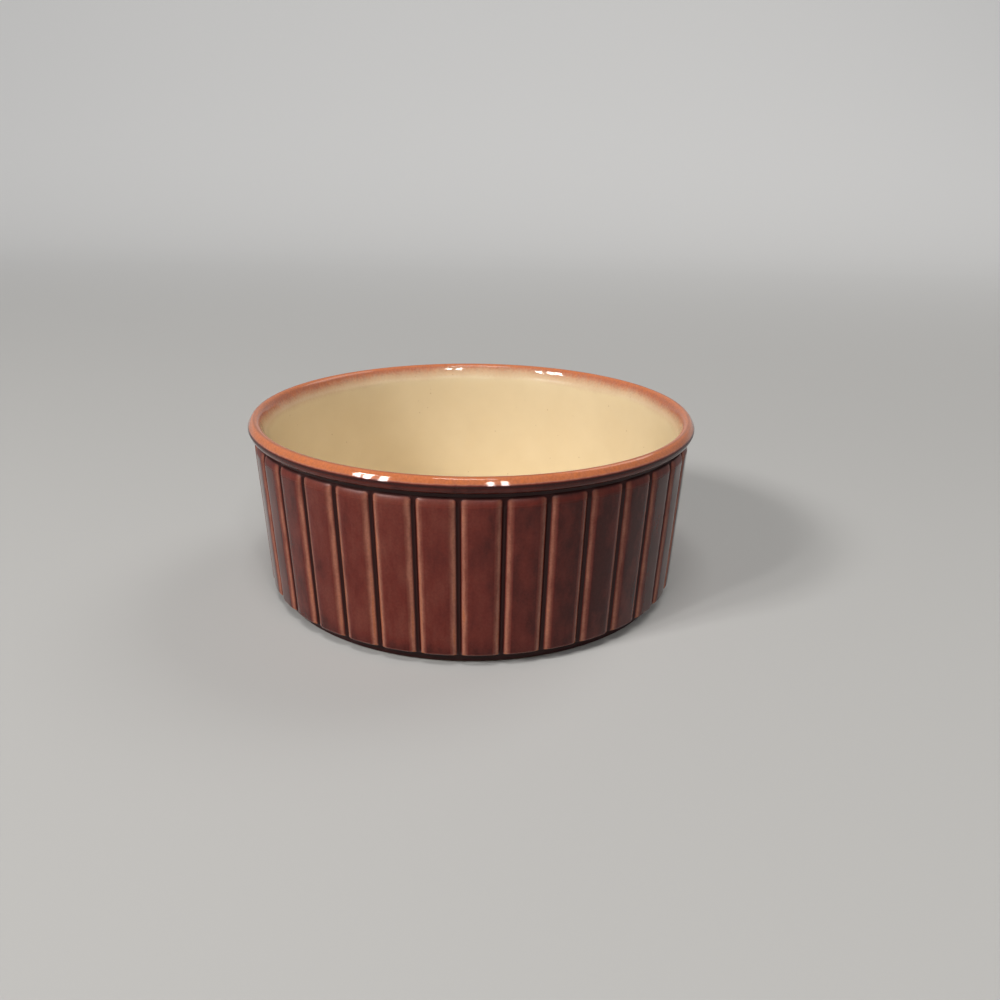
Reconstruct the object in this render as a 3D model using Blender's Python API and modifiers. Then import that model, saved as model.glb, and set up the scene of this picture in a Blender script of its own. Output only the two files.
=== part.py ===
"""Round panelled stoneware casserole dish: a clay body under two glaze coats.

Metres, +Z up. The origin is the centre of the foot ring, on the surface that the dish stands on.
Sections are (radius, height) points. The glazed section runs from the edge of the brown glaze low
on the foot, up the panelled wall, over the rolled rim, and down inside to the floor's centre.
"""

import math

import bmesh
import bpy

# The dish as a whole, over its glaze
RIM_RADIUS = 0.100
HEIGHT = 0.080

# Glaze coats, and the clearance between them and the clay
COAT = 0.00045
GAP = 0.0003
CLAY_INSET = COAT + GAP

# Panelled wall: its straight face leans out from the foot to the head
PANELS = 36
WALL_FOOT = (0.0944, 0.0061)
WALL_HEAD = (0.09775, 0.0673)
TOE_RADIUS = 0.0015
SHOULDER_RADII = (0.0020, 0.0042)
SHOULDER_END = 85

# Grooves between the panels: flat floor, sloping sides
GROOVE_DEPTH = 0.0019
GROOVE_FLOOR_HALF = 0.0007
GROOVE_LIP_HALF = 0.0025

# Rolled rim, and the cove that it overhangs
RIM_WIDEST_HEIGHT = 0.0768
RIM_CROWN_RADIUS = 0.0972
RIM_ROLL_END = 155
RIM_UNDERSIDE = (0.0970, 0.0734)
COVE_RADIUS = 0.0010
COVE_START = 200

# Inside: the lip slopes from the rim to the wall, and the brown glaze laps part of the way down it
LIP_FOOT = (0.0923, 0.0722)
LAP_SHARE = 0.65
FLOOR_RADIUS = 0.0784
FLOOR_HEIGHT = 0.0070
FLOOR_FILLET = 0.0100
INNER_DRAFT = 4

# Underside: a foot ring round a shallow recess; the brown glaze stops just above its bare tread
FOOT_RADIUS = 0.0905
FOOT_WIDTH = 0.0075
FOOT_EDGE = 0.0006
FOOT_TUCK = 0.0007
GLAZE_LINE = 0.0006
RECESS_HEIGHT = 0.0020

# Facets of a plain circle and of each curve in the section
CIRCLE_STEPS = 2 * PANELS
TOE_STEPS = 2
SHOULDER_STEPS = 3
COVE_STEPS = 2
ROLL_STEPS = 3
CROWN_STEPS = 3
INNER_CROWN_STEPS = 2
FILLET_STEPS = 3
SHARP_ANGLE = math.radians(40)
FRONT = math.radians(-90)
MERGE = 0.00001

# Colour and roughness of each material
STONEWARE = ((0.52, 0.33, 0.19), 0.75)
CREAM_GLAZE = ((0.76, 0.60, 0.38), 0.15)
BROWN_GLAZE = ((0.130, 0.035, 0.024), 0.12)


def clear_scene():
    for obj in list(bpy.data.objects):
        bpy.data.objects.remove(obj, do_unlink=True)


def arc(centre, radii, start, end, steps):
    """Points of an elliptical arc, both ends included; angles in degrees."""
    points = []
    for step in range(steps + 1):
        angle = math.radians(start + (end - start) * step / steps)
        radius = centre[0] + radii[0] * math.cos(angle)
        points.append((radius, centre[1] + radii[1] * math.sin(angle)))
    return points


def between(start, end, share):
    return tuple(a + share * (b - a) for a, b in zip(start, end))


def foot_side():
    """Section of the foot's glazed side, from the glaze line up to the tuck under the panels."""
    underside = WALL_FOOT[1] - TOE_RADIUS
    return [(FOOT_RADIUS, GLAZE_LINE),
            (FOOT_RADIUS, underside - FOOT_TUCK),
            (FOOT_RADIUS + FOOT_TUCK, underside)]


def panel_face():
    """Section of the panels: rounded toe, straight face and shoulder."""
    toe_centre = (WALL_FOOT[0] - TOE_RADIUS, WALL_FOOT[1])
    toe = arc(toe_centre, (TOE_RADIUS, TOE_RADIUS), -90, 0, TOE_STEPS)
    shoulder_centre = (WALL_HEAD[0] - SHOULDER_RADII[0], WALL_HEAD[1])
    shoulder = arc(shoulder_centre, SHOULDER_RADII, 0, SHOULDER_END, SHOULDER_STEPS)
    return toe + shoulder


def rim_roll():
    """Section of the cove, the rim's underside, its rounded top, and the lap inside."""
    cove_centre = (RIM_UNDERSIDE[0], RIM_UNDERSIDE[1] - COVE_RADIUS)
    cove = arc(cove_centre, (COVE_RADIUS, COVE_RADIUS), COVE_START, 90, COVE_STEPS)
    drop = RIM_WIDEST_HEIGHT - RIM_UNDERSIDE[1]
    overhang = RIM_RADIUS - RIM_UNDERSIDE[0]
    lower = arc((RIM_UNDERSIDE[0], RIM_WIDEST_HEIGHT), (overhang, drop), -90, 0, ROLL_STEPS)
    crown = (RIM_RADIUS - RIM_CROWN_RADIUS, HEIGHT - RIM_WIDEST_HEIGHT)
    crown_centre = (RIM_CROWN_RADIUS, RIM_WIDEST_HEIGHT)
    outer = arc(crown_centre, crown, 0, 90, CROWN_STEPS)
    inner = arc(crown_centre, crown, 90, RIM_ROLL_END, INNER_CROWN_STEPS)
    lap_end = between(inner[-1], LIP_FOOT, LAP_SHARE)
    return cove + lower[1:] + outer[1:] + inner[1:] + [lap_end]


def inside_wall():
    """Section inside, from the foot of the lip down the wall and round the fillet to the floor."""
    fillet_centre = (FLOOR_RADIUS, FLOOR_HEIGHT + FLOOR_FILLET)
    fillet = arc(fillet_centre, (FLOOR_FILLET, FLOOR_FILLET), -INNER_DRAFT, -90, FILLET_STEPS)
    return [LIP_FOOT] + fillet


def left_normal(start, end):
    length = math.dist(start, end)
    return (start[1] - end[1]) / length, (end[0] - start[0]) / length


def inset(section, distance):
    """The section moved sideways by a distance into the clay, which lies on its left."""
    normals = [left_normal(a, b) for a, b in zip(section, section[1:])]
    moved = []
    for index, (radius, height) in enumerate(section):
        before = normals[max(index - 1, 0)]
        after = normals[min(index, len(normals) - 1)]
        miter = distance / (1 + before[0] * after[0] + before[1] * after[1])
        moved.append((radius + miter * (before[0] + after[0]), height + miter * (before[1] + after[1])))
    return moved


def circle(radius, height):
    points = []
    for step in range(CIRCLE_STEPS):
        angle = FRONT + 2 * math.pi * step / CIRCLE_STEPS
        points.append((radius * math.cos(angle), radius * math.sin(angle), height))
    return points


def grooved_circle(radius, height, depth, widening):
    """A ring of flat panels parted by grooves; the first groove is at the front."""
    pitch = 2 * math.pi / PANELS
    floor_half = (GROOVE_FLOOR_HALF + widening) / WALL_HEAD[0]
    lip_half = (GROOVE_LIP_HALF + widening) / WALL_HEAD[0]
    floor_radius = radius - depth
    panel = [(-floor_half, floor_radius), (floor_half, floor_radius),
             (lip_half, radius), (pitch - lip_half, radius)]
    points = []
    for index in range(PANELS):
        for offset, reach in panel:
            angle = FRONT + index * pitch + offset
            points.append((reach * math.cos(angle), reach * math.sin(angle), height))
    return points


def panel_rings(section, depth_inset):
    """Rings up the panel face, or up the clay inside it, where the grooves are that much wider.

    A groove's floor is straight, so it runs out where the shoulder curves in past it.
    """
    lean = (WALL_HEAD[0] - WALL_FOOT[0]) / (WALL_HEAD[1] - WALL_FOOT[1])
    flank = math.atan2(GROOVE_DEPTH, GROOVE_LIP_HALF - GROOVE_FLOOR_HALF)
    widening = depth_inset * math.tan(flank / 2)
    rings = []
    for radius, height in section:
        wall_radius = WALL_FOOT[0] + lean * (height - WALL_FOOT[1])
        depth = radius - (wall_radius - GROOVE_DEPTH - depth_inset)
        if depth > 0:
            rings.append(grooved_circle(radius, height, depth, widening))
        else:
            rings.append(circle(radius, height))
    return rings


def loft(name, rings, closed):
    """Skin over a run of rings, outward side out; a closed one has a disc at each end."""
    bm = bmesh.new()
    loops = []
    for points in rings:
        verts = [bm.verts.new(point) for point in points]
        loops.append([bm.edges.new((verts[i - 1], verts[i])) for i in range(len(verts))])
    rises = [abs(upper[0][2] - lower[0][2]) for lower, upper in zip(rings, rings[1:])]
    # Level strips come first: a bridge between level rings twists if a face hangs on one of them
    for index in sorted(range(len(rises)), key=rises.__getitem__):
        bmesh.ops.bridge_loops(bm, edges=loops[index] + loops[index + 1])
    if closed:
        for loop in (loops[0], loops[-1]):
            bmesh.ops.contextual_create(bm, geom=loop)
    bmesh.ops.recalc_face_normals(bm, faces=bm.faces)
    widest = max(bm.faces, key=lambda face: face.calc_center_median().xy.length)
    if widest.normal.xy.dot(widest.calc_center_median().xy) < 0:
        bmesh.ops.reverse_faces(bm, faces=bm.faces)
    mesh = bpy.data.meshes.new(name)
    bm.to_mesh(mesh)
    bm.free()
    mesh.shade_smooth()
    mesh.set_sharp_from_angle(angle=SHARP_ANGLE)
    return mesh


def add_coat(obj, clay_side):
    """Thickens an open glazed surface into a coat; clay_side is 1 where its normals face the clay."""
    coat = obj.modifiers.new("coat", 'SOLIDIFY')
    coat.thickness = COAT
    coat.offset = clay_side
    coat.use_even_offset = True
    coat.use_quality_normals = True


def material(name, colour, roughness):
    mat = bpy.data.materials.new(name)
    mat.use_nodes = True
    shader = mat.node_tree.nodes["Principled BSDF"]
    shader.inputs["Base Color"].default_value = (*colour, 1)
    shader.inputs["Roughness"].default_value = roughness
    shader.inputs["Metallic"].default_value = 0
    return mat


def place(name, mesh, mat, collection, parent):
    obj = bpy.data.objects.new(name, mesh)
    mesh.materials.append(mat)
    collection.objects.link(obj)
    obj.parent = parent
    return obj


def stoneware_body():
    """Clay: recess and foot ring below, then the glazed section moved in under its coats."""
    clay = inset(foot_side() + panel_face() + rim_roll() + inside_wall(), CLAY_INSET)
    face_start = len(foot_side())
    face_end = face_start + len(panel_face())
    tread_inner = FOOT_RADIUS - FOOT_WIDTH
    tread_outer = FOOT_RADIUS - CLAY_INSET
    underside = [(tread_inner - RECESS_HEIGHT / 2, RECESS_HEIGHT),
                 (tread_inner, 0),
                 (tread_outer - FOOT_EDGE, 0),
                 (tread_outer, FOOT_EDGE)]
    # The foot's side is straight through the glaze line, so the clay needs no ring there
    rings = [circle(*point) for point in underside + clay[1:face_start]]
    rings += panel_rings(clay[face_start:face_end], CLAY_INSET)
    rings += [circle(*point) for point in clay[face_end:]]
    return loft("stoneware_body", rings, closed=True)


def brown_outer_glaze():
    """Outer surface of the brown coat, from low on the foot to the lap inside the rim."""
    rings = [circle(*point) for point in foot_side()]
    rings += panel_rings(panel_face(), 0)
    rings += [circle(*point) for point in rim_roll()]
    return loft("brown_outer_glaze", rings, closed=False)


def cream_liner_profile():
    """Profile of the cream coat's visible side, just below the brown lap and down to the axis."""
    lap_end = rim_roll()[-1]
    top = between(lap_end, LIP_FOOT, GAP / math.dist(lap_end, LIP_FOOT))
    section = [top] + inside_wall() + [(0, FLOOR_HEIGHT)]
    mesh = bpy.data.meshes.new("cream_liner_glaze")
    verts = [(radius, 0, height) for radius, height in section]
    mesh.from_pydata(verts, [(i, i + 1) for i in range(len(verts) - 1)], [])
    return mesh


def turn(obj):
    """Turns a profile once round the dish's axis."""
    screw = obj.modifiers.new("turn", 'SCREW')
    screw.axis = 'Z'
    screw.steps = CIRCLE_STEPS
    screw.render_steps = CIRCLE_STEPS
    screw.use_merge_vertices = True
    screw.merge_threshold = MERGE
    screw.use_smooth_shade = True


def build():
    clear_scene()
    collection = bpy.data.collections.new("casserole_dish")
    bpy.context.scene.collection.children.link(collection)
    centre = bpy.data.objects.new("dish_centre", None)
    collection.objects.link(centre)

    clay = material("bare_stoneware", *STONEWARE)
    cream = material("cream_glaze", *CREAM_GLAZE)
    brown = material("brown_glaze", *BROWN_GLAZE)

    place("stoneware_body", stoneware_body(), clay, collection, centre)
    coat = place("brown_outer_glaze", brown_outer_glaze(), brown, collection, centre)
    add_coat(coat, -1)
    liner = place("cream_liner_glaze", cream_liner_profile(), cream, collection, centre)
    turn(liner)
    add_coat(liner, 1)


build()
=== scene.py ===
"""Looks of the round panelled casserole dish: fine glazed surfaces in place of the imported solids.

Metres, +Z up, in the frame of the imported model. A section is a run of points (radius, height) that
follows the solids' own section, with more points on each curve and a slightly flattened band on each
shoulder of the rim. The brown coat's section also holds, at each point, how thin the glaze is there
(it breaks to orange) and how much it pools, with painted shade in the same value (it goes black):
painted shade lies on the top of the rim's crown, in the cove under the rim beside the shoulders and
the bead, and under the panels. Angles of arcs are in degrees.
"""

import math

import bmesh
import bpy
import numpy as np
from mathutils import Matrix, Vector, noise


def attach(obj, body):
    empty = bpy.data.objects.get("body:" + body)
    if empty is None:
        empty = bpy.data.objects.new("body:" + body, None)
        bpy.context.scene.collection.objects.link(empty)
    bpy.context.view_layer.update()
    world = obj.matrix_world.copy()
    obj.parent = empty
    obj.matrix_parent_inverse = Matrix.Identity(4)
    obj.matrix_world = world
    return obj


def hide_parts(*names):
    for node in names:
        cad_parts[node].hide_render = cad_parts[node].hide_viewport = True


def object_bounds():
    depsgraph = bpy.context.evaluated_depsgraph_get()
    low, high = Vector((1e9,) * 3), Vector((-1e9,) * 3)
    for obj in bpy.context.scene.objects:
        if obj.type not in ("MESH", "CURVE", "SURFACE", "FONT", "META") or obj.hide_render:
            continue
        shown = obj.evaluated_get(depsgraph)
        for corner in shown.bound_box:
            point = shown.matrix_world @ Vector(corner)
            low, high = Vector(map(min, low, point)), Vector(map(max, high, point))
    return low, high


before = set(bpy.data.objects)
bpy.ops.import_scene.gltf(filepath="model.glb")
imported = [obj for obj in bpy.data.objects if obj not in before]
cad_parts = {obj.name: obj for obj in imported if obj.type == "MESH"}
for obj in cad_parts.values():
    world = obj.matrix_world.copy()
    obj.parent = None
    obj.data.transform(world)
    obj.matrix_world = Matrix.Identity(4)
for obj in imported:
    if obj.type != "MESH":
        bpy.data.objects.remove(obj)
cad_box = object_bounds()

# The dish as a whole, over its glaze
RIM_RADIUS = cad_box[1].x
HEIGHT = cad_box[1].z
COAT = 0.00045
GAP = 0.0003
FRONT = math.radians(-90)

# Panelled wall: its straight face leans out from the foot to the head; its shoulder's end is an angle
PANELS = 36
WALL_FOOT = (0.0944, 0.0061)
WALL_HEAD = (0.09775, 0.0673)
TOE_RADIUS = 0.0015
SHOULDER_RADII = (0.0020, 0.0042)
SHOULDER_END = 85

# Grooves between the panels: a hollow narrow floor, then lips that round over into the faces
GROOVE_DEPTH = 0.0019
GROOVE_FLOOR_HALF = 0.0008
FLOOR_HOLLOW = 0.3
LIP_REACH = 0.0044
LIP_POWER = 3
CORNER_RADIUS = 0.0013
CORNER_TOP = 0.0711

# Columns across a groove, as shares of its floor's half width and of its lip, and columns on a face
FLOOR_POINTS = np.array([0.5])
LIP_POINTS = np.array([0, 0.07, 0.16, 0.28, 0.44, 0.68, 1])
FACE_POINTS = 4

# Small unevenness of the pressed wall
GROOVE_DRIFT = 0.00016
GROOVE_DEPTH_SPREAD = 0.06
WALL_RIPPLE = 0.00005
RIPPLE_SIZE = 0.014
SEED = 36

# Rolled rim, and the cove that it overhangs; the roll's end and the cove's start are angles
RIM_WIDEST_HEIGHT = 0.0768
RIM_CROWN_RADIUS = 0.0972
RIM_ROLL_END = 155
RIM_UNDERSIDE = (0.0970, 0.0734)
COVE_RADIUS = 0.0010
COVE_HEIGHT = RIM_UNDERSIDE[1] - COVE_RADIUS
COVE_START = 200

# Band on the rim's outer shoulder: its lean from upright, and heights above the widest point
RIM_BAND_LEAN = math.radians(30)
RIM_BAND_FOOT = 0.00025
RIM_BAND_ENDS = (0.0005, 0.0018)

# Band on the rim's inner shoulder: the angle where it starts, its lean from upright and its length
INNER_BAND_START = 150
INNER_BAND_LEAN = math.radians(26.5)
INNER_BAND = 0.0014

# Inside: the lip slopes to the wall, and the brown glaze laps part of it; the wall's draft is an angle
LIP_FOOT = (0.0923, 0.0722)
LIP_FOOT_ROUNDING = 0.0045
LAP_SHARE = 0.65
FLOOR_RADIUS = 0.0784
FLOOR_HEIGHT = 0.0070
FLOOR_FILLET = 0.0100
INNER_DRAFT = 4

# Underside: a foot ring round a shallow recess; the brown glaze stops just above its bare tread
FOOT_RADIUS = 0.0905
FOOT_WIDTH = 0.0075
FOOT_EDGE = 0.0006
FOOT_TUCK = 0.0007
GLAZE_LINE = 0.0006
RECESS_HEIGHT = 0.0020

# Steps along each curve of the fine section, and round the turned liner
SHORT_STEPS = 2
EDGE_STEPS = 4
TOE_STEPS = 7
WALL_STEPS = 10
SHOULDER_STEPS = 10
COVE_STEPS = 8
BEAD_STEPS = 12
BAND_STEPS = 4
CROWN_STEPS = 10
INNER_CROWN_STEPS = 9
LAP_STEPS = 8
FILLET_STEPS = 14
FLOOR_STEPS = 10
RECESS_STEPS = 8
HIDDEN_STEP = 4
TURN_STEPS = 360
SHARP_ANGLE = math.radians(50)
MERGE = 1e-7

# Thinness of the glaze, from 0 on a thick coat to 1 on an edge that it has drawn away from
FACE_THIN = 0.015
LIP_THIN_FOOT = 0.74
LIP_THIN_HEAD = 0.57
CROWN_THIN = 0.93
ROLL_THIN = 0.80
BEAD_THIN = 0.09
GLAZE_EDGE_THIN = 0.25
TOE_THIN = 0.34
SHOULDER_THIN = 0.08

# Pooling of the glaze, from 0 to 1 where it is thickest, and the painted shade on the top of the crown
GLAZE_EDGE_POOL = 0.9
BEAD_POOL = 0.24
BEAD_LINE_POOL = 0.55
CROWN_PAINTED_SHADE = 0.42

# Where each thin line, pooled line and band of painted shade on the crown lies along its curve and how
# wide it is, as shares of that curve
TOE_THIN_AT = (0.62, 0.2)
SHOULDER_THIN_AT = (0.40, 0.25)
BEAD_LINE_WIDTH = 0.13
CROWN_SHADE_WIDTH = 0.24

# Shares of a curve between which the glaze changes; at the toe and the bead's underside the change is
# painted shade, at the shoulder pooled glaze and painted shade
TOE_SHADE_ENDS = (0.1, 0.45)
SHOULDER_POOL_AND_SHADE_STARTS = (0.5, 0.9)
BEAD_SHADE_ENDS = (0.10, 0.35)
OUTER_BREAKS = (0.05, 0.30)
INNER_FADES = (0.35, 0.95)

# Across a groove: shares of the climb over its lip, and of the groove's full depth
LIP_PEAK = 0.20
LIP_END = 0.72
FLOOR_POOL_CLIMB = 0.09
FLOOR_POOL_DEPTH = 0.2

# Round the dish: the lap runs further down at the sides, and a painted sheen lightens the faces at the
# front left
LAP_SWING = 0.0011
SHEEN_SIDE = math.radians(-108)
SHEEN_SIDE_SPREAD = math.radians(28)
PAINTED_SHEEN_EXTRA = 0.15
SATIN_RISE = 0.0012

# Glaze and clay colours, linear
PANEL_DARK = (0.074, 0.0084, 0.0054)
PANEL_LIGHT = (0.172, 0.0245, 0.0155)
BREAK_RED = (0.26, 0.070, 0.045)
# Its pink cast is partly a painted sheen.
BREAK_BROWN = (0.47, 0.174, 0.110)
BREAK_ORANGE = (0.635, 0.180, 0.055)
# The black of pooled glaze, also used to paint shade
POOLED_AND_SHADE = (0.026, 0.0018, 0.0010, 1)
CREAM_DEEP = (0.735, 0.595, 0.380, 1)
CREAM_PALE = (0.805, 0.670, 0.450, 1)
CREAM_SPECK = (0.36, 0.200, 0.090, 1)
CLAY_DARK = (0.36, 0.215, 0.120)
CLAY_LIGHT = (0.55, 0.360, 0.215)
GRAIN_DARK = (0.80, 0.80, 0.80)
GRAIN_LIGHT = (1.0, 1.0, 1.0)

# Ramps of colour: a share of the value, and the colour there
BROWN_STOPS = (
    (0.0, PANEL_DARK),
    (0.12, PANEL_LIGHT),
    (0.40, BREAK_RED),
    (0.70, BREAK_BROWN),
    (1.0, BREAK_ORANGE))
GRAIN_STOPS = ((0.3, GRAIN_DARK), (0.65, GRAIN_LIGHT))
CLAY_STOPS = ((0.3, CLAY_DARK), (0.7, CLAY_LIGHT))

# Mottles: size of the blotches, detail, and for two of them how much longer they are upright
BROWN_CLOUDS = (0.007, 4.0, 2.0)
BROWN_STREAKS = (0.0022, 3.0, 4.0)
BROWN_GRAIN = (0.0009, 2.0)
BROWN_WAVES = (0.0022, 2.0)
CREAM_CLOUDS = (0.016, 4.0)
CREAM_WAVES = (0.0030, 2.0)
CREAM_SHEEN = (0.010, 3.0)
LAP_DRIFT = (0.022, 2.0)
LAP_GRAIN = (0.0012, 2.0)
CLAY_GRAIN = (0.0009, 4.0)
MOTTLE_MIDDLE = 0.5

# The most that a mottle sways the thinness, the pooling with its painted shade, and the reach of the
# lap
STREAK_SWAY = 0.55
CLOUD_SWAY = 0.16
POOL_AND_SHADE_GRAIN_SWAY = 0.16
POOL_AND_SHADE_CLOUD_SWAY = 0.10
LAP_DRIFT_SWAY = 0.0022
LAP_GRAIN_SWAY = 0.0012

# Specks in the cream: their spacing, their size and the share of a speck that is solid
SPECK_SPACING = 0.006
SPECK_SIZE = 0.0004
SPECK_CORE = 0.5

# Eased changes: the value's range, then the numbers given at its ends where these aren't 0 and 1
CALM = (0.55, 0.90, 1.0, 0.25)
POOL_AND_SHADE_SHOWS = (0.15, 0.85)
LAP_FADES = (0.0024, 0.0074)
LAP_HAZE = (0.0064, 0.0112, 0.66, 1.0)
SPECK_SHOWS = (0, 1, 0, 0.5)
BROWN_GLOSS = (0.2, 0.8, 0.04, 0.07)
POOL_AND_SHADE_DULLS = (0.3, 1, 0, 0.32)
CREAM_GLOSS = (0.2, 0.8, 0.12, 0.22)
CLAY_ROUGHNESS = (0.2, 0.8, 0.70, 0.85)

# Gloss of the glazes, and each material's bump: its height and strength
GLAZE_IOR = 1.5
GLAZE_SPECULAR = 0.3
SATIN = 0.36
BROWN_BUMP = (0.00004, 0.14)
CREAM_BUMP = (0.00004, 0.3)
CLAY_BUMP = (0.0002, 0.6)

# Studio floor, which sweeps up into a backdrop, and the world around it
WHITE = (1, 1, 1, 1)
FLOOR_COLOUR = (0.47, 0.466, 0.458, 1)
FLOOR_BOUNCE = (0.16, 0.158, 0.155, 1)
FLOOR_ROUGHNESS = 0.9
FLOOR_LEVEL = -0.0001
FLOOR_HALF_WIDTH = 4.0
FLOOR_FRONT = -3.0
FLAT_STEPS = 4
SWEEP_START = 1.4
SWEEP_RADIUS = 1.2
SWEEP_STEPS = 24
BACKDROP_TOP = 3.0
BACKDROP_FADE = (0.1, 2.2)
BACKDROP_SEEN = 0.32
WORLD_LEVEL = 0.05
WORLD_SEEN = 0.50

# Lamps: name, degrees from the front to the right, degrees up, distance, width and height, watts
LAMP_WHITE = (1.0, 0.985, 0.96)
LEFT_STRIP = (36, 2.4, (0.14, 0.40), 12)
FRONT_STRIP = (40, 2.4, (0.12, 0.30), 5)
LAMPS = (
    ("top", -4, 73, 2.2, (0.8, 0.40), 17),
    ("fill", 128, 50, 2.6, (1.2, 1.2), 15),
    ("front", -4, 21, 2.6, (0.4, 0.35), 2),
    ("left_strip_0", -57.7, *LEFT_STRIP),
    ("left_strip_1", -52.1, *LEFT_STRIP),
    ("left_strip_2", -43.6, *LEFT_STRIP),
    ("front_strip_0", 12.5, *FRONT_STRIP),
    ("front_strip_1", 20, *FRONT_STRIP))

# Camera, matched to the photograph
CAMERA_PLACE = (0.02077, -0.40035, 0.18468)
CAMERA_TURN = (69.514, -0.7683, 1.39)
CAMERA_CLIP = 0.01
SENSOR_WIDTH = 36
LENS = 32.3398


def smooth(start, end, value):
    """0 before start and 1 after end, eased in between."""
    share = np.clip((np.asarray(value, float) - start) / (end - start), 0, 1)
    return share * share * (3 - 2 * share)


def hump(centre, width, value):
    """1 at the centre, falling off smoothly on both sides."""
    return np.exp(-((value - centre) / width) ** 2)


def arc(centre, radii, start, end, steps):
    """Points of an elliptical arc, both ends included; angles in degrees."""
    angles = np.radians(np.linspace(start, end, steps + 1))
    across = centre[0] + radii[0] * np.cos(angles)
    up = centre[1] + radii[1] * np.sin(angles)
    return np.column_stack([across, up])


def round_arc(centre, radius, start, end, steps):
    """Points of a circular arc, both ends included; angles in degrees."""
    return arc(centre, (radius, radius), start, end, steps)


def line(start, end, steps):
    return np.linspace(start, end, steps + 1)


def bend(start, corner, end, steps):
    """A smooth curve from start to end that is drawn towards a corner."""
    share = np.linspace(0, 1, steps + 1)[:, None]
    start, corner, end = (np.asarray(point) for point in (start, corner, end))
    return (1 - share) ** 2 * start + 2 * share * (1 - share) * corner + share ** 2 * end


def along(points):
    """Each point's share of the steps along a curve, from 0 to 1."""
    return np.linspace(0, 1, len(points))


def glazed(points, thin, pool_and_shade):
    """Section points with the glaze's thinness, and its pooling with painted shade, beside each."""
    count = len(points)
    return np.column_stack([points, np.broadcast_to(thin, count), np.broadcast_to(pool_and_shade, count)])


def joined(*runs):
    """Runs of points end to end, with no point twice."""
    points = np.vstack(runs)
    steps = np.linalg.norm(np.diff(points[:, :2], axis=0), axis=1)
    return points[np.concatenate([[True], steps > MERGE])]


def inset(section, distance):
    """The section moved sideways by a distance into the clay, which lies on its left."""
    run = np.diff(section, axis=0)
    normals = np.column_stack([-run[:, 1], run[:, 0]]) / np.linalg.norm(run, axis=1)[:, None]
    before = np.vstack([normals[:1], normals])
    after = np.vstack([normals, normals[-1:]])
    miter = distance / (1 + (before * after).sum(axis=1))
    return section + miter[:, None] * (before + after)


def every_few(section):
    """Fewer points of a section that is out of sight, with both ends kept."""
    return np.vstack([section[:-1:HIDDEN_STEP], section[-1:]])


def run_length(section):
    """Distance along the section from its first point to each point."""
    steps = np.linalg.norm(np.diff(section, axis=0), axis=1)
    return np.concatenate([[0], np.cumsum(steps)])


def foot_section():
    """The glaze's rounded lower edge, the side of the foot and the tuck under the panels."""
    underside = WALL_FOOT[1] - TOE_RADIUS
    edge = round_arc((FOOT_RADIUS - COAT, GLAZE_LINE + COAT), COAT, -90, 0, EDGE_STEPS)
    tuck_centre = (FOOT_RADIUS + FOOT_TUCK, underside - FOOT_TUCK)
    tuck = round_arc(tuck_centre, FOOT_TUCK, 180, 90, EDGE_STEPS)
    flat = line(tuck[-1], (WALL_FOOT[0] - TOE_RADIUS, underside), SHORT_STEPS)
    return joined(
        glazed(edge, GLAZE_EDGE_THIN * (1 - along(edge)), GLAZE_EDGE_POOL),
        # The tuck and the flat under the panels are painted black as shade.
        glazed(tuck, 0, 1),
        glazed(flat, 0, 1))


def wall_section():
    """Rounded toe, straight face and shoulder of the panels."""
    toe = round_arc((WALL_FOOT[0] - TOE_RADIUS, WALL_FOOT[1]), TOE_RADIUS, -90, 0, TOE_STEPS)
    toe_thin = FACE_THIN + TOE_THIN * hump(*TOE_THIN_AT, along(toe))
    # The toe's underside is painted black as shade.
    toe_shade = 1 - smooth(*TOE_SHADE_ENDS, along(toe))
    face = line(WALL_FOOT, WALL_HEAD, WALL_STEPS)
    shoulder_centre = (WALL_HEAD[0] - SHOULDER_RADII[0], WALL_HEAD[1])
    shoulder = arc(shoulder_centre, SHOULDER_RADII, 0, SHOULDER_END, SHOULDER_STEPS)
    shoulder_thin = FACE_THIN + SHOULDER_THIN * hump(*SHOULDER_THIN_AT, along(shoulder))
    # Towards the cove the shoulder goes black: pooled glaze and painted shade.
    shoulder_pool_and_shade = smooth(*SHOULDER_POOL_AND_SHADE_STARTS, along(shoulder))
    return joined(
        glazed(toe, toe_thin, toe_shade),
        glazed(face, FACE_THIN, 0),
        glazed(shoulder, shoulder_thin, shoulder_pool_and_shade))


def rim_shoulder():
    """The rim's outer side above its widest point: a slightly flattened band that rolls over."""
    widest = np.array([RIM_RADIUS, RIM_WIDEST_HEIGHT])
    lean = math.tan(RIM_BAND_LEAN)
    lower, upper = (widest + ((RIM_BAND_FOOT - rise) * lean, rise) for rise in RIM_BAND_ENDS)
    below = widest + (0, RIM_BAND_FOOT)
    above = (RIM_RADIUS - (HEIGHT - below[1]) * lean, HEIGHT)
    return joined(
        bend(widest, below, lower, BAND_STEPS),
        line(lower, upper, BAND_STEPS),
        bend(upper, above, (RIM_CROWN_RADIUS, HEIGHT), CROWN_STEPS))


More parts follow.
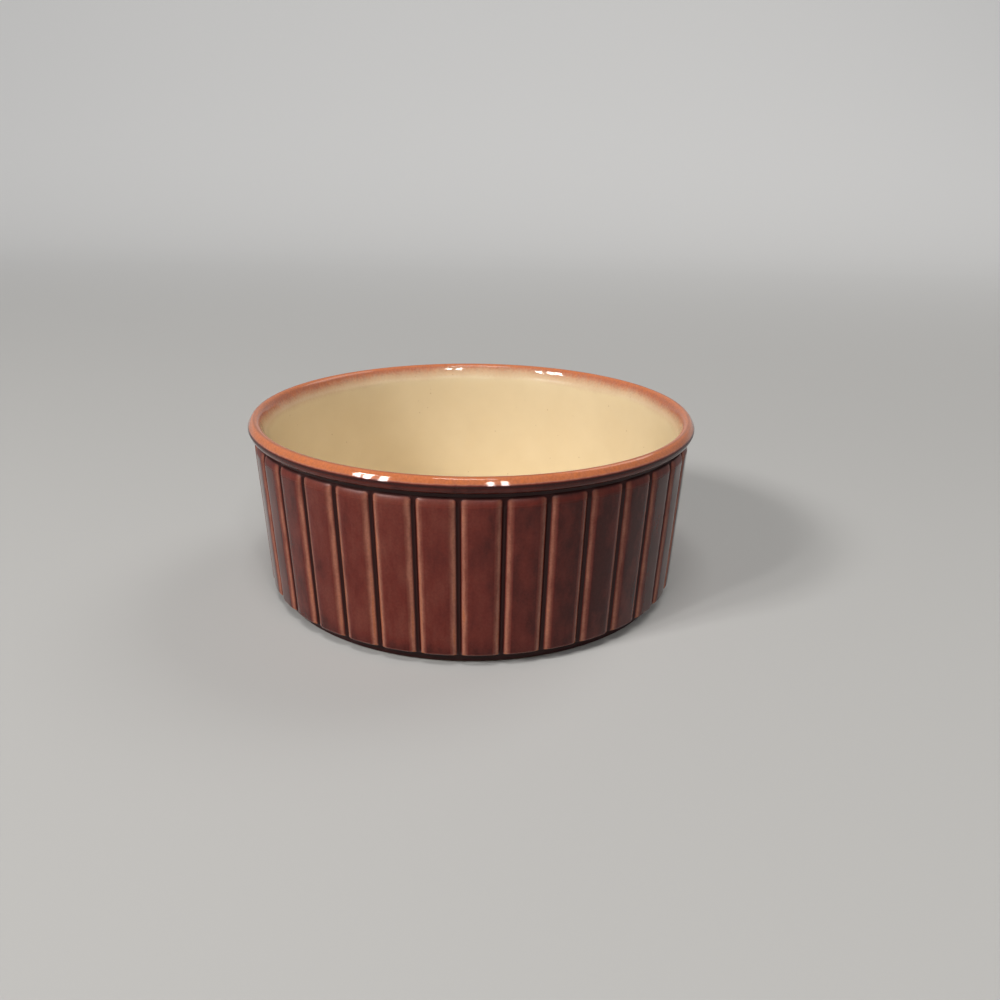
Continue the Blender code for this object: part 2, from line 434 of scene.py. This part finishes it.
def rim_curves():
    """Cove, the rim's underside, its outer shoulder, its inner roll, and the lap inside."""
    cove = round_arc((RIM_UNDERSIDE[0], COVE_HEIGHT), COVE_RADIUS, COVE_START, 90, COVE_STEPS)
    bead_radii = (RIM_RADIUS - RIM_UNDERSIDE[0], RIM_WIDEST_HEIGHT - RIM_UNDERSIDE[1])
    bead = arc((RIM_UNDERSIDE[0], RIM_WIDEST_HEIGHT), bead_radii, -90, 0, BEAD_STEPS)
    crown_centre = (RIM_CROWN_RADIUS, RIM_WIDEST_HEIGHT)
    crown_radii = (RIM_RADIUS - RIM_CROWN_RADIUS, HEIGHT - RIM_WIDEST_HEIGHT)
    inner = arc(crown_centre, crown_radii, 90, INNER_BAND_START, INNER_CROWN_STEPS)
    roll_end = arc(crown_centre, crown_radii, 90, RIM_ROLL_END, 1)[-1]
    lap_end = roll_end + LAP_SHARE * (np.asarray(LIP_FOOT) - roll_end)
    slope = np.array([math.sin(INNER_BAND_LEAN), math.cos(INNER_BAND_LEAN)])
    band_end = inner[-1] - INNER_BAND * slope
    lap = joined(line(inner[-1], band_end, BAND_STEPS), line(band_end, lap_end, LAP_STEPS))
    return cove, bead, rim_shoulder(), inner, lap


def rim_section():
    """The rim's curves and their glaze: dark below, with painted shade in the cove and under the bead,
    a black line at the widest point, orange on top, with painted shade along the crown's top.
    """
    cove, bead, outer, inner, lap = rim_curves()
    line_below = BEAD_LINE_POOL * hump(1, BEAD_LINE_WIDTH, along(bead))
    # The bead's underside next to the cove is painted black as shade.
    bead_pool_and_shade = np.maximum(1 - smooth(*BEAD_SHADE_ENDS, along(bead)), BEAD_POOL + line_below)
    over_top = run_length(outer) / run_length(outer)[-1]
    rolled = smooth(*OUTER_BREAKS, over_top)
    line_above = BEAD_LINE_POOL * hump(0, BEAD_LINE_WIDTH, over_top)
    outer_pool_and_shade = (BEAD_POOL + line_above) * (1 - rolled)
    # Painted shade darkens the top of the crown, on its outer and inner sides.
    outer_pool_and_shade = outer_pool_and_shade + CROWN_PAINTED_SHADE * hump(1, CROWN_SHADE_WIDTH, over_top)
    inner_painted_shade = CROWN_PAINTED_SHADE * hump(0, CROWN_SHADE_WIDTH, along(inner))
    faded = smooth(*INNER_FADES, along(inner))
    return joined(
        # The cove under the rim is painted black as shade.
        glazed(cove, 0, 1),
        glazed(bead, BEAD_THIN, bead_pool_and_shade),
        glazed(outer, BEAD_THIN + (CROWN_THIN - BEAD_THIN) * rolled, outer_pool_and_shade),
        glazed(inner, CROWN_THIN + (ROLL_THIN - CROWN_THIN) * faded, inner_painted_shade),
        glazed(lap, ROLL_THIN, 0))


def inside_section():
    """From the end of the brown lap, round the foot of the lip, down the wall and to the axis."""
    fillet_centre = (FLOOR_RADIUS, FLOOR_HEIGHT + FLOOR_FILLET)
    fillet = round_arc(fillet_centre, FLOOR_FILLET, -INNER_DRAFT, -90, FILLET_STEPS)
    lap_end = rim_section()[-1, :2]
    foot = np.asarray(LIP_FOOT)
    start = (lap_end + foot) / 2
    end = foot + (fillet[0] - foot) * LIP_FOOT_ROUNDING / np.linalg.norm(fillet[0] - foot)
    return joined(
        line(lap_end, start, SHORT_STEPS),
        bend(start, foot, end, LAP_STEPS),
        line(end, fillet[0], WALL_STEPS),
        fillet,
        line(fillet[-1], (0, FLOOR_HEIGHT), FLOOR_STEPS))


def groove_columns():
    """Offsets of the columns round one pitch, from a groove's centre line to just before the next."""
    pitch = 2 * math.pi * WALL_HEAD[0] / PANELS
    lip = GROOVE_FLOOR_HALF + LIP_REACH * LIP_POINTS
    side = np.concatenate([GROOVE_FLOOR_HALF * FLOOR_POINTS, lip])
    face = np.linspace(side[-1], pitch - side[-1], FACE_POINTS + 2)[1:-1]
    offsets = np.concatenate([[0], side, face, pitch - side[::-1]])
    return offsets, np.minimum(offsets, pitch - offsets)


def groove_shape(heights, reach):
    """Share of the groove's depth, and climb over its lip, by row and column.

    Near the top of the wall the groove widens, which rounds the panels' corners.
    """
    rise = np.clip(heights - (CORNER_TOP - CORNER_RADIUS), 0, CORNER_RADIUS)
    widening = CORNER_RADIUS - np.sqrt(CORNER_RADIUS ** 2 - rise ** 2)
    floor_half = GROOVE_FLOOR_HALF + widening[:, None]
    climb = np.clip((reach - floor_half) / LIP_REACH, 0, 1)
    lip = (1 - FLOOR_HOLLOW) * (1 - climb) ** LIP_POWER
    floor = FLOOR_HOLLOW * (1 - np.clip(reach / floor_half, 0, 1) ** 2)
    return lip + floor, climb


def groove_depths(section):
    """Depth of the grooves beside each point: shoulder and toe curve in past their straight floor."""
    lean = (WALL_HEAD[0] - WALL_FOOT[0]) / (WALL_HEAD[1] - WALL_FOOT[1])
    face = WALL_FOOT[0] + lean * (section[:, 1] - WALL_FOOT[1])
    return np.clip(section[:, 0] - face + GROOVE_DEPTH, 0, GROOVE_DEPTH)


def uneven_columns():
    """Angles of the wall's columns, their reach from the nearest groove, and how deep it is."""
    offsets, reach = groove_columns()
    random = np.random.default_rng(SEED)
    drift = random.normal(0, GROOVE_DRIFT, PANELS)
    deeper = 1 + random.normal(0, GROOVE_DEPTH_SPREAD, PANELS)
    near_next = smooth(0, offsets[-1], offsets)
    angles, depths = [], []
    for panel in range(PANELS):
        after = (panel + 1) % PANELS
        moved = drift[panel] + near_next * (drift[after] - drift[panel])
        depths.append(deeper[panel] + near_next * (deeper[after] - deeper[panel]))
        angles.append(FRONT + panel * 2 * math.pi / PANELS + (offsets + moved) / WALL_HEAD[0])
    return np.concatenate(angles), np.tile(reach, PANELS), np.concatenate(depths)


def ring_points(radii, heights, angles):
    """Points of rings: radii is rows by columns, heights has one per row and angles one per column."""
    rows = np.broadcast_to(heights[:, None], radii.shape)
    return np.stack([radii * np.cos(angles), radii * np.sin(angles), rows], axis=-1)


def grid_mesh(name, places, attributes, wraps):
    """A closed mesh over rings of points: the last joins the first, or both end rings are poles."""
    rows, columns = places.shape[:2]
    index = np.arange(rows * columns).reshape(rows, columns)
    below = index if wraps else index[:-1]
    above = np.roll(index, -1, axis=0) if wraps else index[1:]
    corners = [below, np.roll(below, -1, axis=1), np.roll(above, -1, axis=1), above]
    quads = np.stack(corners, axis=-1)
    mesh = bpy.data.meshes.new(name)
    mesh.from_pydata(places.reshape(-1, 3).tolist(), [], quads.reshape(-1, 4).tolist())
    for key, values in attributes.items():
        layer = mesh.attributes.new(key, 'FLOAT', 'POINT')
        numbers = np.broadcast_to(values, (rows, columns)).astype(np.float32)
        layer.data.foreach_set("value", numbers.ravel())
    grid = bmesh.new()
    grid.from_mesh(mesh)
    bmesh.ops.remove_doubles(grid, verts=grid.verts, dist=MERGE)
    bmesh.ops.recalc_face_normals(grid, faces=grid.faces)
    grid.to_mesh(mesh)
    grid.free()
    mesh.shade_smooth()
    mesh.set_sharp_from_angle(angle=SHARP_ANGLE)
    return mesh


def place(mesh, material, node):
    """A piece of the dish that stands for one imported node."""
    piece = bpy.data.objects.new(mesh.name, mesh)
    mesh.materials.append(material)
    bpy.context.scene.collection.objects.link(piece)
    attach(piece, "root")
    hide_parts(node)


def swung_lap(lap, angles):
    """Distance over the lap, shortened at the sides of the dish, where the brown runs further down."""
    return lap - LAP_SWING * np.cos(2 * angles)


def brown_attributes(outer, section, grooves, climb, angles):
    """What the brown glaze's material reads, by row and column; the coat's hidden rows come last."""
    heights = section[:, 1:]
    hidden = np.zeros(len(section) - len(outer))
    thin, pool_and_shade = (np.concatenate([outer[:, column], hidden])[:, None] for column in (2, 3))
    run = run_length(outer[:, :2])
    past_top = np.clip(run - run[np.argmax(outer[:, 1])], 0, None)
    lap = np.concatenate([past_top, hidden])[:, None]
    grooved = grooves / GROOVE_DEPTH
    lip = smooth(0, LIP_PEAK, climb) * (1 - smooth(LIP_PEAK, LIP_END, climb)) * np.sqrt(grooved)
    floor = (1 - smooth(0, FLOOR_POOL_CLIMB, climb)) * smooth(0, FLOOR_POOL_DEPTH, grooved)
    lip_thin = LIP_THIN_FOOT + (LIP_THIN_HEAD - LIP_THIN_FOOT) * heights / WALL_HEAD[1]
    # Painted sheen: the faces round the front left are made lighter.
    away = (angles - SHEEN_SIDE + math.pi) % (2 * math.pi) - math.pi
    on_face = (grooves > 0) & (heights > WALL_FOOT[1])
    painted_sheen = PAINTED_SHEEN_EXTRA * hump(0, SHEEN_SIDE_SPREAD, away) * on_face
    return {
        # The thinness also carries that painted sheen.
        "thin": thin + (lip_thin - FACE_THIN) * lip + painted_sheen,
        "pool_and_shade": np.maximum(pool_and_shade, floor),
        "satin": smooth(WALL_HEAD[1], WALL_HEAD[1] + SATIN_RISE, heights) * (grooves > 0),
        "lap": swung_lap(lap, angles),
    }


def brown_coat():
    """The brown glaze coat: glaze edge on the foot, panelled wall, cove, rolled rim and lap."""
    foot = foot_section()
    outer = joined(foot, wall_section(), rim_section())
    on_wall = (np.arange(len(outer)) >= len(foot) - 1) & (outer[:, 1] < COVE_HEIGHT)
    depths = np.where(on_wall, groove_depths(outer), 0)
    under = inset(outer[:, :2], COAT)
    angles, reach, deeper = uneven_columns()
    section = np.vstack([outer[:, :2], every_few(under)[::-1]])
    grooves = np.concatenate([depths, every_few(depths[:, None])[::-1, 0]])[:, None]
    share, climb = groove_shape(section[:, 1], reach)
    radii = section[:, :1] - grooves * deeper * share
    places = ring_points(radii, section[:, 1], angles)
    outward = np.column_stack([np.cos(angles), np.sin(angles), np.zeros(len(angles))])
    for row in np.flatnonzero(on_wall & (depths > 0)):
        ripple = [noise.noise(Vector(point) / RIPPLE_SIZE) for point in places[row]]
        places[row] += outward * WALL_RIPPLE * np.array(ripple)[:, None]
    attributes = brown_attributes(outer, section, grooves, climb, angles)
    mesh = grid_mesh("brown_glaze_coat", places, attributes, wraps=True)
    place(mesh, brown_glaze(), "brown_outer_glaze")


def cream_liner():
    """The cream glaze coat inside: the part of the lip below the lap, the wall, fillet and floor."""
    seen = inside_section()
    hidden = every_few(inset(seen, COAT))
    hidden[-1, 0] = 0
    section = np.vstack([seen[::-1], hidden])
    angles = FRONT + np.linspace(0, 2 * math.pi, TURN_STEPS, endpoint=False)
    radii = np.broadcast_to(section[:, :1], (len(section), TURN_STEPS))
    places = ring_points(radii, section[:, 1], angles)
    brown = rim_section()[:, :2]
    lapped = run_length(brown)[-1] - run_length(brown)[np.argmax(brown[:, 1])]
    lap = lapped + np.concatenate([run_length(seen)[::-1], run_length(hidden)])
    attributes = {"lap": swung_lap(lap[:, None], angles)}
    mesh = grid_mesh("cream_glaze_liner", places, attributes, wraps=False)
    place(mesh, cream_glaze(), "cream_liner_glaze")


def clay_body():
    """The clay: recess and bare tread of the foot, and the body under both coats."""
    outer = joined(foot_section(), wall_section(), rim_section())[:, :2]
    covered = joined(outer, inside_section())
    depths = np.where(covered[:, 1] < COVE_HEIGHT, groove_depths(covered), 0)
    depths[len(outer):] = 0
    clay = every_few(np.column_stack([inset(covered, COAT + GAP), depths]))
    clay = clay[EDGE_STEPS // HIDDEN_STEP:]
    clay[-1, 0] = 0
    tread_outer = clay[0, 0]
    tread_inner = FOOT_RADIUS - FOOT_WIDTH
    recess = round_arc((tread_inner - RECESS_HEIGHT, 0), RECESS_HEIGHT, 90, 0, RECESS_STEPS)
    edge = round_arc((tread_outer - FOOT_EDGE, FOOT_EDGE), FOOT_EDGE, -90, 0, EDGE_STEPS)
    underside = joined(line((0, RECESS_HEIGHT), recess[0], FLOOR_STEPS), recess, edge)
    section = np.vstack([np.column_stack([underside, np.zeros(len(underside))]), clay])
    angles, reach, deeper = uneven_columns()
    share, _ = groove_shape(section[:, 1], reach)
    radii = section[:, :1] - section[:, 2:] * deeper * share
    mesh = grid_mesh("stoneware_clay", ring_points(radii, section[:, 1], angles), {}, wraps=False)
    place(mesh, bare_clay(), "stoneware_body")


class Tree:
    """A material's node tree, with short ways to add and link nodes."""

    def __init__(self, name):
        self.material = bpy.data.materials.new(name)
        self.material.use_nodes = True
        self.nodes = self.material.node_tree.nodes
        self.links = self.material.node_tree.links
        self.shader = self.nodes["Principled BSDF"]
        self.coordinates = self.nodes.new("ShaderNodeTexCoord").outputs["Object"]

    def feed(self, socket, value):
        """Links an output to a socket, or sets the socket to a plain value."""
        if isinstance(value, bpy.types.NodeSocket):
            self.links.new(value, socket)
        else:
            socket.default_value = value

    def attribute(self, name):
        node = self.nodes.new("ShaderNodeAttribute")
        node.attribute_name = name
        return node.outputs["Fac"]

    def maths(self, operation, first, second, clamp=False):
        node = self.nodes.new("ShaderNodeMath")
        node.operation = operation
        node.use_clamp = clamp
        self.feed(node.inputs[0], first)
        self.feed(node.inputs[1], second)
        return node.outputs[0]

    def mottle(self, size, detail, stretch=1.0):
        """Noise from 0 to 1 whose blotches are about that size, and longer upright by the stretch."""
        mapping = self.nodes.new("ShaderNodeMapping")
        mapping.inputs["Scale"].default_value = (1 / size, 1 / size, 1 / (size * stretch))
        self.links.new(self.coordinates, mapping.inputs["Vector"])
        node = self.nodes.new("ShaderNodeTexNoise")
        node.inputs["Scale"].default_value = 1.0
        node.inputs["Detail"].default_value = detail
        self.links.new(mapping.outputs["Vector"], node.inputs["Vector"])
        return node.outputs["Fac"]

    def sway(self, mottle, reach):
        """A mottle as an offset of either sign; reach is the most that it strays."""
        offset = self.maths('SUBTRACT', mottle, MOTTLE_MIDDLE)
        return self.maths('MULTIPLY', offset, reach / MOTTLE_MIDDLE)

    def specks(self, spacing, size):
        """1 inside sparse round specks and 0 elsewhere."""
        node = self.nodes.new("ShaderNodeTexVoronoi")
        node.inputs["Scale"].default_value = 1 / spacing
        self.links.new(self.coordinates, node.inputs["Vector"])
        share = size / spacing
        return self.between(node.outputs["Distance"], share, SPECK_CORE * share)

    def between(self, value, low, high, at_low=0.0, at_high=1.0):
        """Eases from one number, where the value is low, to another, where it is high."""
        node = self.nodes.new("ShaderNodeMapRange")
        node.interpolation_type = 'SMOOTHSTEP'
        self.feed(node.inputs["Value"], value)
        numbers = {"From Min": low, "From Max": high, "To Min": at_low, "To Max": at_high}
        for socket, number in numbers.items():
            node.inputs[socket].default_value = number
        return node.outputs["Result"]

    def ramp(self, value, stops):
        """A colour for each share of value; stops holds pairs of a share and a colour."""
        node = self.nodes.new("ShaderNodeValToRGB")
        elements = node.color_ramp.elements
        while len(elements) < len(stops):
            elements.new(1.0)
        for element, (share, colour) in zip(elements, stops):
            element.position = share
            element.color = (*colour, 1)
        self.feed(node.inputs["Fac"], value)
        return node.outputs["Color"]

    def mix(self, share, first, second, blend='MIX'):
        node = self.nodes.new("ShaderNodeMix")
        node.data_type = 'RGBA'
        node.blend_type = blend
        self.feed(node.inputs["Factor"], share)
        colours = [socket for socket in node.inputs if socket.type == 'RGBA']
        for socket, value in zip(colours, (first, second)):
            self.feed(socket, value)
        return next(socket for socket in node.outputs if socket.type == 'RGBA')

    def bump(self, value, height, strength):
        node = self.nodes.new("ShaderNodeBump")
        node.inputs["Distance"].default_value = height
        node.inputs["Strength"].default_value = strength
        self.links.new(value, node.inputs["Height"])
        self.links.new(node.outputs["Normal"], self.shader.inputs["Normal"])

    def glaze_gloss(self):
        """How strongly a glaze mirrors, which is the same all over."""
        self.shader.inputs["IOR"].default_value = GLAZE_IOR
        self.shader.inputs["Specular IOR Level"].default_value = GLAZE_SPECULAR

    def finish(self, colour, roughness):
        self.feed(self.shader.inputs["Base Color"], colour)
        self.feed(self.shader.inputs["Roughness"], roughness)
        return self.material


def lapped_colour(tree, brown):
    """Cream glaze with the brown of the rim fading out over it, the same on both sides of the joint."""
    cream = tree.mix(tree.mottle(*CREAM_CLOUDS), CREAM_DEEP, CREAM_PALE)
    specks = tree.between(tree.specks(SPECK_SPACING, SPECK_SIZE), *SPECK_SHOWS)
    cream = tree.mix(specks, cream, CREAM_SPECK)
    drift = tree.sway(tree.mottle(*LAP_DRIFT), LAP_DRIFT_SWAY)
    grain = tree.sway(tree.mottle(*LAP_GRAIN), LAP_GRAIN_SWAY)
    reach = tree.maths('ADD', tree.maths('ADD', tree.attribute("lap"), drift), grain)
    haze = tree.between(reach, *LAP_HAZE)
    faded = tree.maths('MULTIPLY', tree.between(reach, *LAP_FADES), haze)
    return tree.mix(faded, brown, cream)


def brown_glaze():
    """Brown glaze that breaks to orange where it is thin and goes nearly black where it pools and where
    shade is painted; its thinness also carries a painted sheen on the faces at the front left.
    """
    tree = Tree("brown_glaze")
    clouds = tree.mottle(*BROWN_CLOUDS)
    streaks = tree.mottle(*BROWN_STREAKS)
    grain = tree.mottle(*BROWN_GRAIN)
    given = tree.attribute("thin")
    broken = tree.maths('MULTIPLY', given, tree.sway(streaks, STREAK_SWAY))
    broken = tree.maths('ADD', broken, tree.sway(clouds, CLOUD_SWAY))
    broken = tree.maths('MULTIPLY', broken, tree.between(given, *CALM))
    thin = tree.maths('ADD', given, broken, clamp=True)
    brown = tree.ramp(thin, BROWN_STOPS)
    brown = tree.mix(1.0, brown, tree.ramp(grain, GRAIN_STOPS), 'MULTIPLY')
    edge = tree.maths('ADD', tree.attribute("pool_and_shade"), tree.sway(grain, POOL_AND_SHADE_GRAIN_SWAY))
    edge = tree.maths('ADD', edge, tree.sway(clouds, POOL_AND_SHADE_CLOUD_SWAY))
    # Pooled glaze and painted shade both mix in this black
    pool_and_shade = tree.between(edge, *POOL_AND_SHADE_SHOWS)
    brown = tree.mix(pool_and_shade, brown, POOLED_AND_SHADE)
    tree.glaze_gloss()
    tree.bump(tree.mottle(*BROWN_WAVES), *BROWN_BUMP)
    roughness = tree.between(clouds, *BROWN_GLOSS)
    roughness = tree.maths('ADD', roughness, tree.between(pool_and_shade, *POOL_AND_SHADE_DULLS))
    satin = tree.maths('MULTIPLY', tree.attribute("satin"), SATIN)
    roughness = tree.maths('ADD', roughness, satin)
    return tree.finish(lapped_colour(tree, brown), roughness)


def cream_glaze():
    tree = Tree("cream_glaze")
    tree.glaze_gloss()
    tree.bump(tree.mottle(*CREAM_WAVES), *CREAM_BUMP)
    colour = lapped_colour(tree, (*BREAK_BROWN, 1))
    return tree.finish(colour, tree.between(tree.mottle(*CREAM_SHEEN), *CREAM_GLOSS))


def bare_clay():
    tree = Tree("bare_clay")
    grain = tree.mottle(*CLAY_GRAIN)
    tree.bump(grain, *CLAY_BUMP)
    return tree.finish(tree.ramp(grain, CLAY_STOPS), tree.between(grain, *CLAY_ROUGHNESS))


def seen_rays(nodes, links):
    """1 for rays that show a surface, directly or mirrored, and 0 for the light that it throws."""
    path = nodes.new("ShaderNodeLightPath").outputs
    seen = path["Is Camera Ray"]
    for ray in ("Is Glossy Ray", "Is Transmission Ray"):
        either = nodes.new("ShaderNodeMath")
        either.operation = 'MAXIMUM'
        links.new(seen, either.inputs[0])
        links.new(path[ray], either.inputs[1])
        seen = either.outputs[0]
    return seen


def floor_paint():
    """Pale where it is seen, out to the backdrop, but throws little light on the dish."""
    tree = Tree("studio_floor")
    seen = seen_rays(tree.nodes, tree.links)
    axes = tree.nodes.new("ShaderNodeSeparateXYZ")
    tree.links.new(tree.coordinates, axes.inputs["Vector"])
    far = tree.between(axes.outputs["Y"], *BACKDROP_FADE, 0, BACKDROP_SEEN)
    tree.feed(tree.shader.inputs["Emission Strength"], tree.maths('MULTIPLY', seen, far))
    tree.feed(tree.shader.inputs["Emission Color"], WHITE)
    return tree.finish(tree.mix(seen, FLOOR_BOUNCE, FLOOR_COLOUR), FLOOR_ROUGHNESS)


def studio_floor():
    """Pale floor that sweeps up into a backdrop behind the dish."""
    curve = round_arc((SWEEP_START, FLOOR_LEVEL + SWEEP_RADIUS), SWEEP_RADIUS, -90, 0, SWEEP_STEPS)
    flat = line((FLOOR_FRONT, FLOOR_LEVEL), curve[0], FLAT_STEPS)
    backdrop = line(curve[-1], (curve[-1, 0], BACKDROP_TOP), SHORT_STEPS)
    sweep = joined(flat, curve, backdrop)
    points = [(side * FLOOR_HALF_WIDTH, back, up) for back, up in sweep for side in (-1, 1)]
    faces = [(row, row + 1, row + 3, row + 2) for row in range(0, len(points) - 2, 2)]
    mesh = bpy.data.meshes.new("studio_floor")
    mesh.from_pydata(points, [], faces)
    mesh.shade_smooth()
    mesh.materials.append(floor_paint())
    floor = bpy.data.objects.new("studio_floor", mesh)
    bpy.context.scene.collection.objects.link(floor)


def studio_world():
    """Pale where it is seen, but throws little light on the dish."""
    world = bpy.data.worlds.new("studio")
    world.use_nodes = True
    nodes, links = world.node_tree.nodes, world.node_tree.links
    level = nodes.new("ShaderNodeMapRange")
    level.inputs["To Min"].default_value = WORLD_LEVEL
    level.inputs["To Max"].default_value = WORLD_SEEN
    links.new(seen_rays(nodes, links), level.inputs["Value"])
    links.new(level.outputs["Result"], nodes["Background"].inputs["Strength"])
    nodes["Background"].inputs["Color"].default_value = WHITE
    bpy.context.scene.world = world


def lamp(name, turn, rise, distance, size, watts):
    """A lamp aimed at the middle of the dish."""
    data = bpy.data.lights.new(name, 'AREA')
    data.shape = 'RECTANGLE'
    data.size, data.size_y = size
    data.energy = watts
    data.color = LAMP_WHITE
    light = bpy.data.objects.new(name, data)
    turn, rise = math.radians(turn), math.radians(rise)
    level = distance * math.cos(rise)
    above = distance * math.sin(rise)
    aim = Vector((0, 0, HEIGHT / 2))
    light.location = aim + Vector((level * math.sin(turn), -level * math.cos(turn), above))
    light.rotation_euler = (aim - light.location).to_track_quat('-Z', 'Y').to_euler()
    bpy.context.scene.collection.objects.link(light)


def camera():
    data = bpy.data.cameras.new("camera")
    data.sensor_width = SENSOR_WIDTH
    data.lens = LENS
    data.clip_start = CAMERA_CLIP
    view = bpy.data.objects.new("camera", data)
    view.location = CAMERA_PLACE
    view.rotation_euler = [math.radians(angle) for angle in CAMERA_TURN]
    bpy.context.scene.collection.objects.link(view)
    bpy.context.scene.camera = view


brown_coat()
cream_liner()
clay_body()
studio_floor()
studio_world()
for lamp_values in LAMPS:
    lamp(*lamp_values)
camera()
bpy.context.scene.view_settings.view_transform = 'Standard'
